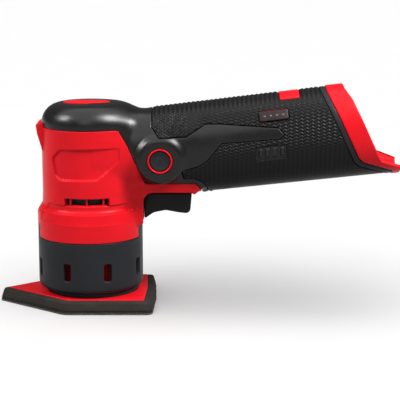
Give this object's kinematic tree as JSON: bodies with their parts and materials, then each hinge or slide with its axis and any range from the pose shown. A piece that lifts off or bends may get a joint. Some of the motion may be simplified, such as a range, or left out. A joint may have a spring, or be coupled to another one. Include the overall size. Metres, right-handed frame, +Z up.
{
  "type": "detail mouse sander",
  "caption": "Cordless one-handed detail sander: iron-shaped orbiting pad under an upright motor head, rubber-clad handle with trigger, lock button and open battery socket.",
  "frame": {"origin": "on the motor spindle's axis, in the plane of the sanding face", "axes": "+X towards the battery end of the handle, +Z up along the spindle, the pad's nose pointing along -X"},
  "size_m": [0.2265, 0.0678, 0.1249],
  "materials": {
    "red_plastic": "satin moulded nylon, bright red",
    "smooth_rubber": "smooth satin overmoulded rubber, near black",
    "grip_rubber": "ribbed and diamond-textured overmoulded rubber, near black",
    "dark_plastic": "fine-grained dark grey nylon",
    "black_plastic": "smooth black nylon",
    "gauge_window": "smoked translucent window",
    "circuit_board": "green solder mask",
    "bright_steel": "ground steel",
    "black_steel": "blackened steel",
    "lamination": "stacked electrical steel",
    "magnet": "nickel-plated magnets",
    "copper_wire": "enamelled copper winding",
    "contact_metal": "plated contact blades",
    "cast_alloy": "die-cast alloy",
    "wire_jacket": "silicone wire jacket, black",
    "wire_jacket_red": "silicone wire jacket, red",
    "leg_rubber": "moulded rubber",
    "pad_foam": "dense closed-cell foam, warm dark grey",
    "hook_fabric": "hook tape",
    "abrasive": "aluminium-oxide abrasive on cloth backing"
  },
  "bodies": {
    "housing": {"left_housing": "red_plastic", "right_housing": "red_plastic", "left_overmold": "smooth_rubber", "right_overmold": "smooth_rubber", "left_grip": "grip_rubber", "right_grip": "grip_rubber", "receiver_ring": "dark_plastic", "receiver_collar": "red_plastic", "cap_badge": "red_plastic", "handle_badge": "red_plastic", "clamshell_screws": "black_steel", "skirt": "dark_plastic", "left_button_bezel": "red_plastic", "right_button_bezel": "red_plastic", "gauge_lens": "gauge_window", "gauge_board": "circuit_board", "control_board": "circuit_board", "heat_sink": "cast_alloy", "terminal_block": "black_plastic", "battery_contacts": "contact_metal", "motor_leads": "wire_jacket", "battery_leads": "wire_jacket_red", "switch_module": "black_plastic", "trigger_spring": "bright_steel", "stator_core": "lamination", "stator_coils": "copper_wire", "hall_board": "circuit_board", "motor_frame": "cast_alloy", "frame_screws": "bright_steel", "upper_bearing": "bright_steel", "lower_bearing": "bright_steel", "pad_legs": "leg_rubber"},
    "rotor": {"motor_shaft": "bright_steel", "rotor_core": "lamination", "rotor_magnets": "magnet", "fan": "black_plastic", "counterweight": "black_steel", "spindle_screw": "black_steel"},
    "pad": {"pad_bearing": "bright_steel", "pad_hub": "red_plastic", "pad_plate": "red_plastic", "pad_screws": "bright_steel", "pad_foam": "pad_foam", "hook_layer": "hook_fabric", "sanding_sheet": "abrasive"},
    "trigger": {"trigger": "black_plastic"},
    "lock_button": {"lock_button": "dark_plastic"}
  },
  "joints": [
    {"name": "spindle", "type": "hinge", "parent": "housing", "child": "rotor", "pos_m": [0, 0, 0.05], "axis": [0, 0, 1], "continuous": true},
    {"name": "pad_orbit", "type": "hinge", "parent": "rotor", "child": "pad", "pos_m": [0.0012, 0, 0.0195], "axis": [0, 0, 1], "continuous": true, "deforming": ["pad_legs"]},
    {"name": "trigger_press", "type": "slide", "parent": "housing", "child": "trigger", "axis": [0, 0, 1], "range_m": [0, 0.005], "stiffness_N_per_m": 800, "springref_m": -0.003, "deforming": ["trigger_spring"]},
    {"name": "lock_press", "type": "slide", "parent": "housing", "child": "lock_button", "axis": [0, 1, 0], "range_m": [-0.0025, 0]}
  ],
  "couplings": [
    {"joint": "pad_orbit", "follows": "spindle", "ratio": -1}
  ]
}
